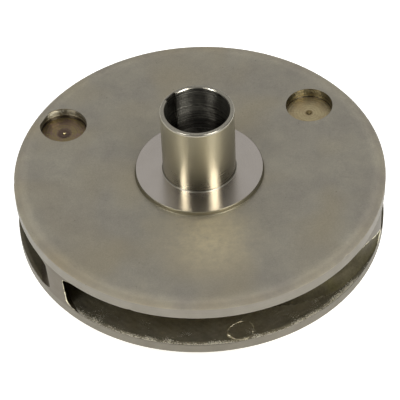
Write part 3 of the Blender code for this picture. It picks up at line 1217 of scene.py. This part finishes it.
@dataclass(frozen=True)
class MachinedHub:
    """The bright tube over the disc and the seal land round its foot."""

    sizes: Impeller
    steps: int = 360
    chamfer: float = 0.25 * MM
    lip_round: Span = (0.45 * MM, 0.8 * MM)
    crown_width: float = 0.05 * MM
    foot_round: float = 0.4 * MM
    land_edge: float = 0.2 * MM
    land_foot: float = 0.35 * MM
    land_gap: float = 0.02 * MM

    @property
    def foot_edge(self) -> float:
        """Radius where the round at the tube's foot meets the land."""
        return self.sizes.hub + self.foot_round

    def barrel(self) -> bpy.types.Object:
        """The keyed tube: each row is a height and a radius, inside rows following the slot."""
        size = self.sizes
        angles = size.columns(self.steps)
        keyed = size.bore_radius(angles)
        low = size.face_centre + CLEARANCE
        round_top = size.land_top + self.foot_round
        inset, drop = self.lip_round
        shoulder = size.hub - inset
        foot = turn(run((self.foot_edge, low), (self.foot_edge, size.land_top), 2), angles)
        corner = turn(arc((self.foot_edge, round_top), (self.foot_round,) * 2, (270, 180), 5), angles)
        outside = turn(run((size.hub, round_top), (size.hub, size.hub_top - drop), 40), angles)
        lip = turn(arc((shoulder, size.hub_top - drop), self.lip_round, (0, 90), 7), angles)
        bore = run((size.bore, low), (size.bore, size.hub_top - self.chamfer), 39)
        inside = turn(bore, angles, keyed)
        opened = np.minimum(keyed + self.chamfer, shoulder - self.crown_width)
        mouth = np.stack([inside[-1], turn(np.array([(0, size.hub_top)]), angles, opened)[0]])
        crown = np.stack([mouth[1], lip[-1]])
        base = np.stack([inside[0], foot[0]])
        grids = (
            (foot, 0), (corner, 2), (outside, 0), (lip, 2), (crown, 2), (mouth, 2), (inside, 1), (base, 1)
        )
        patches = [Patch(grid, finish) for grid, finish in grids]
        finishes = [POLISHED_HUB, BORED, POLISHED_LIP]
        return make_piece("hub_tube", patches, finishes, ("hub_barrel",))

    def land(self) -> bpy.types.Object:
        """The land: a flat ring with a broken outer edge and a small round where it meets the face."""
        size = self.sizes
        angles = circle(self.steps)
        low = size.face_centre + self.land_gap
        inner = self.foot_edge
        edge, foot = self.land_edge, self.land_foot
        top = run((inner, size.land_top), (size.land - edge, size.land_top), 24)
        side = chain(
            run((size.land - edge, size.land_top), (size.land, size.land_top - edge), 2),
            run((size.land, size.land_top - edge), (size.land, low + foot), 5),
            arc((size.land + foot, low + foot), (foot, foot), (180, 270), 6),
            run((size.land + foot, low), (inner, low), 2),
            run((inner, low), (inner, size.land_top), 3),
        )
        patches = [Patch(turn(top, angles), 0), Patch(turn(side, angles), 1)]
        return make_piece("seal_ring", patches, [TURNED_LAND, LAND_EDGE], ("seal_land",))

    def build(self) -> list[bpy.types.Object]:
        """Tube and land."""
        return [self.barrel(), self.land()]


@dataclass(frozen=True)
class LoopMark:
    """A thin raised loop on the floor, left by a crack in the shell.

    Its path is a slanted oval that wobbles and, by the cube of the cosine, runs to a point at its
    left. A round bead is carried along it, thicker at the point and thinner at the near and far
    sides, half sunk in the floor and roughened by grains.
    """

    floor: float
    centre: Span = (12.1 * MM, -59.3 * MM)
    size: Span = (4.3 * MM, 4.0 * MM)
    point: float = 0.16
    wobble: float = 0.03
    slant: float = 0.18
    bead: float = 0.2 * MM
    thick_point: float = 2.0
    point_turn: float = 0.3
    thin_sides: float = 0.4
    swells: Ripple = Ripple(2.5 * MM, 33)
    sink: float = 0.05 * MM
    uneven: float = 0.12 * MM
    grains: Ripple = Ripple(1.5 * MM, 31)

    def path(self, along: Array) -> Array:
        """The level middle line about the centre, at angles round it in radians."""
        pull = 1 + self.point * np.cos(along - math.pi) ** 3 + self.wobble * np.sin(5 * along + 1)
        width, depth = self.size
        return np.stack([width * pull * np.cos(along), depth * np.sin(along + self.slant)], axis=1)

    def build(self) -> bpy.types.Object:
        """Carry the bead round the path and close it."""
        along = np.linspace(0, math.tau, 97)
        path = self.path(along)
        step = np.gradient(path, axis=0)
        step[0] = step[-1] = step[0] + step[-1]
        step /= np.linalg.norm(step, axis=1)[:, None]
        side = np.stack([step[:, 1], -step[:, 0], 0 * along], axis=1)
        at_point = np.clip(np.cos(along - math.pi - self.point_turn), 0, 1) ** 8
        swell = self.bead * (1 + self.thick_point * at_point)
        swell = swell * (1 - self.thin_sides * np.abs(np.sin(along)))
        turned = np.linspace(0, math.tau, 10, endpoint=False)[:, None]
        ring = side[:, None] * np.cos(turned) + np.array([0, 0, 1.0]) * np.sin(turned)
        middle = np.concatenate([path, 0 * path[:, :1]], axis=1)
        middle = middle + np.array([*self.centre, self.floor - self.sink])
        swell = swell * np.clip(0.8 + 0.9 * self.swells.at(middle), 0.1, 1.8)
        grid = middle[:, None] + swell[:, None, None] * ring
        grid[..., 2] += self.uneven * self.grains.at(grid)
        grid[-1] = grid[0]
        return make_piece("floor_loop_mark", [Patch(grid, 0)], [SCALE])


@dataclass(frozen=True)
class FrontCasting:
    """The suction-side disc with its rough inner floor, the turned neck, and a cast-in loop."""

    sizes: Impeller
    steps: int = 720
    edge_round: float = 0.15 * MM
    lower_round: float = 0.5 * MM
    grain: float = 0.05 * MM
    grains: Ripple = Ripple(1.6 * MM, 21, 40)
    swells: Ripple = Ripple(5 * MM, 22)
    calm_past_eye: Span = (1 * MM, 5 * MM)
    calm_before_rim: Span = (1.6 * MM, 0.3 * MM)
    fall: float = 0.2 * MM
    fall_reach: float = 3.5 * MM
    neck_blend: float = 1.5 * MM
    neck_chamfer: float = 0.6 * MM

    @property
    def rim_under(self) -> float:
        """Height of the disc's underside at the rim."""
        return self.sizes.floor - self.sizes.front_rim_thickness

    def throat_curve(self, low: float, high: float, steps: int) -> Array:
        """The eye's inner wall between two heights, along the quarter ellipse of the floor.

        Args:
            low: the height where it starts.
            high: the height where it ends.
            steps: the number of chords.

        Returns:
            Points of radius and height, at evenly spaced angles of the ellipse.
        """
        size = self.sizes
        centre = (size.floor_flat_radius, size.throat)
        radii = (size.floor_flat_radius - size.eye, size.floor - size.throat)
        ends = [180 - math.degrees(math.asin((z - size.throat) / radii[1])) for z in (low, high)]
        return arc(centre, radii, tuple(ends), steps)

    def roughened(self, grid: Array) -> Array:
        """Raise and lower the floor by waves about 1 to 5 mm long, calm at its two edges.

        Near the rim it also falls away, by the square of the share of the way out.

        Args:
            grid: the floor's grid.

        Returns:
            The grid with new heights.
        """
        radius = np.linalg.norm(grid[..., :2], axis=-1)
        rim = self.sizes.rim
        calm = ease(radius, *(self.sizes.eye + past for past in self.calm_past_eye))
        calm = calm * (1 - ease(radius, *(rim - before for before in self.calm_before_rim)))
        waves = self.grains.at(grid) + 0.8 * self.swells.at(grid)
        edge = np.clip((radius - rim + self.fall_reach) / self.fall_reach, 0, 1)
        moved = grid.copy()
        moved[..., 2] += self.grain * calm * (waves - 0.6) - self.fall * edge ** 2
        return moved

    def disc(self) -> bpy.types.Object:
        """Floor, rim band, underside and the ring that the neck grows from."""
        size = self.sizes
        angles = circle(self.steps)
        small, large = self.edge_round, self.lower_round
        seat, flat = size.neck_seat, size.floor_flat_radius
        start = self.throat_curve(seat, size.floor, 30)
        floor = chain(start, run((flat, size.floor), (size.rim - small, size.floor), 34))
        level = size.floor - self.fall * (1 - small / self.fall_reach) ** 2
        band = chain(
            arc((size.rim - small, level - small), (small, small), (90, 0), 3),
            run((size.rim, level - small), (size.rim, self.rim_under + large), 7),
            arc((size.rim - large, self.rim_under + large), (large, large), (0, -90), 5),
        )
        tuck = size.neck + self.neck_blend
        under = chain(
            run((size.rim - large, self.rim_under), (flat, self.rim_under), 12),
            arc((flat, seat), (flat - tuck, self.rim_under - seat), (90, 180), 18),
            run((tuck, seat), tuple(start[0]), 3),
        )
        patches = [
            Patch(self.roughened(turn(floor, angles)), 0),
            Patch(turn(band, angles), 1),
            Patch(turn(under, angles), 2),
        ]
        finishes = [SHELL_ROUGH, FRONT_RIM_PAINTED_SHADE, BLASTED]
        return make_piece("front_casting", patches, finishes, ("front_shroud",))

    def neck(self) -> bpy.types.Object:
        """The neck: chamfered end face, straight outside, and inside the eye's flared wall."""
        size = self.sizes
        cut = self.neck_chamfer
        top = size.neck_seat
        inside = self.throat_curve(size.throat, top, 8)
        profile = chain(
            run((size.eye + cut, 0), (size.neck - cut, 0), 4),
            run((size.neck - cut, 0), (size.neck, cut), 2),
            run((size.neck, cut), (size.neck, top), 8),
            run((size.neck, top), tuple(inside[-1]), 3),
            inside[::-1],
            run((size.eye, size.throat), (size.eye, cut), 4),
            run((size.eye, cut), (size.eye + cut, 0), 2),
        )
        grid = turn(profile, circle(self.steps // 2))
        return make_piece("suction_neck", [Patch(grid, 0)], [TURNED_RIM], ("eye_neck",))

    def build(self) -> list[bpy.types.Object]:
        """Disc, neck and loop mark."""
        return [self.disc(), self.neck(), LoopMark(self.sizes.floor).build()]


@dataclass(frozen=True)
class TipSlant:
    """How one vane's outer side slants at its tip, as degrees added at the roof and lower down.

    A large fillet fills the corner between that side and the floor, and shrinks at the rim.
    """

    number: int = 2
    at_roof: float = -7.4
    lower: float = 7.6
    foot: float = 19.5 * MM
    reach: float = 3.2 * MM
    fillet: float = 5.5 * MM
    fillet_end: float = 1.5 * MM
    fillet_loss: float = 0.85


@dataclass(frozen=True)
class Burr:
    """A torn edge left on one side of a vane's tip: which vane, which side, and how thick.

    Teeth and swells vary its thickness within limits, as shares of it, and it has a knot at a
    share of the way up. It starts and ends short of the discs, and a share of it is sunk.
    """

    number: int
    across: float
    thickness: float
    teeth: Ripple
    swells: Ripple = Ripple(5 * MM, 50)
    limits: Span = (0.25, 1.8)
    knot: float = 1.2
    knot_place: float = 0.1
    knot_length: float = 0.06
    ends: Span = (0.03, 0.97)
    sink: float = 0.25


@dataclass(frozen=True)
class VaneRing:
    """Three backward-curved vanes between the shrouds.

    A vane's middle line is a logarithmic spiral: its direction is the tip's plus the logarithm
    of radius over rim radius, divided by the tangent of the vane angle. Its rounded nose thins
    to a share of the thickness.
    """

    sizes: Impeller
    count: int = 3
    angle: float = 23.0
    thickness: float = 3.5 * MM
    tip_direction: float = -140.6
    inner: float = 29 * MM
    fillet: float = 2.4 * MM
    sink: float = 0.25 * MM
    lean: float = 1.5
    nose: float = 2.6 * MM
    nose_share: float = 0.25
    inside_rim: float = 0.01 * MM
    slant: TipSlant = TipSlant()
    # The vane whose sides are painted darker still, as shade.
    scaled: int = 1
    burrs: tuple[Burr, ...] = (
        Burr(1, 1.0, 0.2 * MM, Ripple(1.2 * MM, 41)),
        Burr(2, -1.0, 0.75 * MM, Ripple(1.2 * MM, 42)),
    )

    def place(self, number: int, across: Array, up: Array, along: Array) -> Array:
        """Where a point of the vane's block lies.

        Args:
            number: the vane's number.
            across: -1 on the outer side to 1 on the inner side.
            up: 0 at the floor to 1 at the roof.
            along: 0 at the leading edge to 1 at the rim.

        Returns:
            The points. The half width, an angle, is half the thickness and the fillet, divided
            by the radius and the sine of the vane angle.
        """
        size = self.sizes
        slope = math.radians(self.angle)
        radius = self.inner * ((size.rim - self.inside_rim) / self.inner) ** along
        low = size.floor_height(radius) - self.sink
        high = size.roof_height(radius) + self.sink
        height = low + (high - low) * up
        near = np.minimum(height - low, high - height) - self.sink
        gap = np.clip(1 - near / self.fillet, 0, 1)
        flare = self.fillet * (1 - np.sqrt(1 - gap * gap))
        blunt = np.sqrt(1 - np.clip(1 - (radius - self.inner) / self.nose, 0, 1) ** 2)
        share = self.nose_share + (1 - self.nose_share) * blunt
        half = (self.thickness / 2 * share + flare) / (radius * math.sin(slope))
        middle = math.radians(self.tip_direction + (number - 1) * 360 / self.count)
        direction = middle + np.log(radius / size.rim) / math.tan(slope)
        direction = direction + math.radians(self.lean) * (0.5 - up) + across * half
        if number == self.slant.number:
            direction = direction + self.slanted(across, height, radius)
        return np.stack([radius * np.cos(direction), radius * np.sin(direction), height], axis=-1)

    def slanted(self, across: Array, height: Array, radius: Array) -> Array:
        """Turn of the outer side near the tip: straight in height, fading inwards, plus the fillet.

        The fillet is a quarter circle: it leaves the side by its radius less the root of the
        radius squared less the height left below its top squared.

        Args:
            across: -1 on the outer side to 1 on the inner side.
            height: heights of the points.
            radius: their radii.

        Returns:
            Angles in radians.
        """
        size, slant = self.sizes, self.slant
        down = np.clip((size.roof_rim - height) / (size.roof_rim - slant.foot), 0, 1)
        turned = slant.at_roof + (slant.lower - slant.at_roof) * down
        fade = ease(radius, size.rim - slant.reach, size.rim)
        left = np.clip(1 - (height - size.floor) / slant.fillet, 0, 1)
        out = slant.fillet * (1 - np.sqrt(1 - left * left))
        out = out / (radius * math.sin(math.radians(self.angle)))
        out = out * (1 - slant.fillet_loss * ease(radius, size.rim - slant.fillet_end, size.rim))
        return (np.radians(turned) * fade - out) * (1 - across) / 2

    def vane(self, number: int) -> bpy.types.Object:
        """The six sides of one vane's block, each its place function with one number held.

        Args:
            number: the vane's number.

        Returns:
            The vane, whose side at the rim is turned and whose other sides are as cast; both are painted
            darker as shade.
        """
        lines = [np.linspace(-1, 1, 13), np.linspace(0, 1, 27), np.linspace(0, 1, 150)]
        patches = []
        for held, line in enumerate(lines):
            for end in (line[0], line[-1]):
                spans = [*lines[:held], np.array([end]), *lines[held + 1:]]
                across, up, along = (part.squeeze(held) for part in np.meshgrid(*spans, indexing="ij"))
                at_rim = held == 2 and end == 1
                patches.append(Patch(self.place(number, across, up, along), int(at_rim), False))
        side = VANE_DARK if number == self.scaled else VANE_CAST
        return make_piece(
            f"vane_blade_{number}", patches, [side, TIP_PAINTED_SHADE], (f"vane_{number}",)
        )

    def burr(self, burr: Burr) -> bpy.types.Object:
        """A thin ragged bead along the tip's edge: level circles on it, thinner towards the roof.

        Args:
            burr: the edge and the bead's thickness.

        Returns:
            The bead, most of it sunk in the vane.
        """
        share = np.linspace(0, 1, 120)
        up = np.linspace(*burr.ends, len(share))
        edge = self.place(burr.number, np.full_like(up, burr.across), up, np.ones_like(up))
        edge[:, :2] *= 1 - burr.sink * burr.thickness / self.sizes.rim
        swell = 0.6 + 0.5 * burr.teeth.at(edge) + 0.5 * burr.swells.at(edge)
        knot = burr.knot * np.exp(-(((share - burr.knot_place) / burr.knot_length) ** 2))
        closed = np.sqrt(1 - (2 * share - 1) ** 16)
        radius = burr.thickness * np.clip(swell * (1.5 - share) + knot, *burr.limits) * closed
        turned = np.linspace(0, math.tau, 8, endpoint=False)[:, None]
        outward = edge[:, None, :2] / np.linalg.norm(edge[:, None, :2], axis=2, keepdims=True)
        sideways = np.stack([-outward[..., 1], outward[..., 0]], axis=-1)
        ring = np.cos(turned) * outward + np.sin(turned) * sideways
        grid = np.repeat(edge[:, None], len(turned), axis=1)
        grid[..., :2] += radius[:, None, None] * ring
        limit = np.linalg.norm(grid[..., :2], axis=2) / (self.sizes.rim - self.inside_rim / 2)
        grid[..., :2] /= np.maximum(limit, 1)[..., None]
        return make_piece(f"tip_burr_{burr.number}", [Patch(grid, 0)], [BURR])

    def build(self) -> list[bpy.types.Object]:
        """All vanes and their burrs."""
        vanes = [self.vane(number) for number in range(1, self.count + 1)]
        return vanes + [self.burr(burr) for burr in self.burrs]


@dataclass(frozen=True)
class Softbox:
    """A flat soft light, aimed at the impeller.

    Azimuth runs from the camera's side towards the right. Power is brightness times area times
    pi, so that its face, seen in a mirror, has the brightness given, where 1 shows as white.
    """

    name: str
    azimuth: float
    elevation: float
    distance: float
    width: float
    height: float
    brightness: float

    def build(self, aim: Vector) -> None:
        """Hang the light.

        Args:
            aim: the point that it faces.
        """
        lamp = bpy.data.lights.new(self.name, "AREA")
        lamp.shape = "RECTANGLE"
        lamp.size = self.width
        lamp.size_y = self.height
        lamp.energy = self.brightness * self.width * self.height * math.pi
        side, up = math.radians(self.azimuth), math.radians(self.elevation)
        heading = Vector((math.sin(side) * math.cos(up), -math.cos(side) * math.cos(up), math.sin(up)))
        item = put(lamp)
        item.location = aim + heading * self.distance
        item.rotation_mode = "QUATERNION"
        item.rotation_quaternion = heading.to_track_quat("Z", "Y")


@dataclass(frozen=True)
class Camera:
    """The photograph's viewpoint: a long lens, 46 degrees above the table, a little askew."""

    lens: float = 163.77
    sensor: float = 36.0
    aim: tuple[float, float, float] = (-0.26 * MM, 0.0, 18.4 * MM)
    distance: float = 648.06 * MM
    elevation: float = 45.79
    roll: float = -2.4
    nearest: float = 0.05
    farthest: float = 20.0

    def build(self) -> None:
        """Place the camera and make it the scene's."""
        data = bpy.data.cameras.new("camera")
        data.lens = self.lens
        data.sensor_width = self.sensor
        data.clip_start = self.nearest
        data.clip_end = self.farthest
        up = math.radians(self.elevation)
        back = Vector((0.0, -math.cos(up), math.sin(up)))
        item = put(data)
        item.location = Vector(self.aim) + back * self.distance
        item.rotation_mode = "QUATERNION"
        level = (-back).to_track_quat("-Z", "Y")
        item.rotation_quaternion = level @ Quaternion((0.0, 0.0, 1.0), math.radians(self.roll))
        bpy.context.scene.camera = item


@dataclass(frozen=True)
class Studio:
    """A pale table, a dim room, white screens behind, at the left and above, and three strips."""

    aim: tuple[float, float, float] = (0.0, 0.0, 35 * MM)
    table: str = "#f4f4f2"
    table_reach: float = 3.0
    table_roughness: float = 0.9
    table_glow: float = 0.8
    room: str = "#ffffff"
    room_brightness: float = 0.04
    lights: tuple[Softbox, ...] = (
        Softbox("screen_behind", 180, 55, 1.5, 2.8, 1.6, 0.45),
        Softbox("screen_left", -105, 45, 1.4, 1.0, 1.0, 0.36),
        Softbox("screen_above", 0, 84, 1.3, 1.3, 0.45, 0.2),
        Softbox("strip_left", -53.5, 49, 1.2, 0.17, 0.6, 17.5),
        Softbox("strip_right", 45.5, 49, 1.2, 0.31, 0.6, 13.5),
        Softbox("strip_far_right", 60, 49, 1.2, 0.05, 0.6, 12.0),
    )

    def floor(self) -> None:
        """A wide plain table top with a little glow of its own, as on a light table."""
        made = bpy.data.materials.new("pale_table_top")
        made.use_nodes = True
        shader = made.node_tree.nodes["Principled BSDF"]
        shader.inputs["Base Color"].default_value = linear(self.table)
        shader.inputs["Roughness"].default_value = self.table_roughness
        shader.inputs["Specular IOR Level"].default_value = 0.0
        shader.inputs["Emission Color"].default_value = linear(self.table)
        shader.inputs["Emission Strength"].default_value = self.table_glow
        line = np.linspace(-self.table_reach, self.table_reach, 3)
        across, along = np.meshgrid(line, line, indexing="ij")
        grid = Patch(np.stack([across, along, 0 * across], axis=-1), 0, False)
        mesh = bpy.data.meshes.new("table_top")
        mesh.from_pydata(grid.points.reshape(-1, 3), [], grid.quads()[:, ::-1])
        mesh.materials.append(made)
        put(mesh)

    def build(self) -> None:
        """Table, room light and lamps."""
        self.floor()
        world = bpy.data.worlds.new("room")
        world.use_nodes = True
        sky = world.node_tree.nodes["Background"]
        sky.inputs["Color"].default_value = linear(self.room)
        sky.inputs["Strength"].default_value = self.room_brightness
        bpy.context.scene.world = world
        bpy.context.scene.view_settings.view_transform = "Standard"
        for light in self.lights:
            light.build(Vector(self.aim))


def main() -> None:
    """Build the camera, the impeller from back to front, and the studio."""
    logging.basicConfig(level=logging.INFO, format="%(name)s %(message)s")
    sizes = Impeller.measured()
    Camera().build()
    assemblies = (BackCasting(sizes), MachinedHub(sizes), FrontCasting(sizes), VaneRing(sizes))
    for assembly in assemblies:
        for piece in assembly.build():
            log.info("%s is on", piece.name)
    Studio().build()


if __name__ == "__main__":
    main()
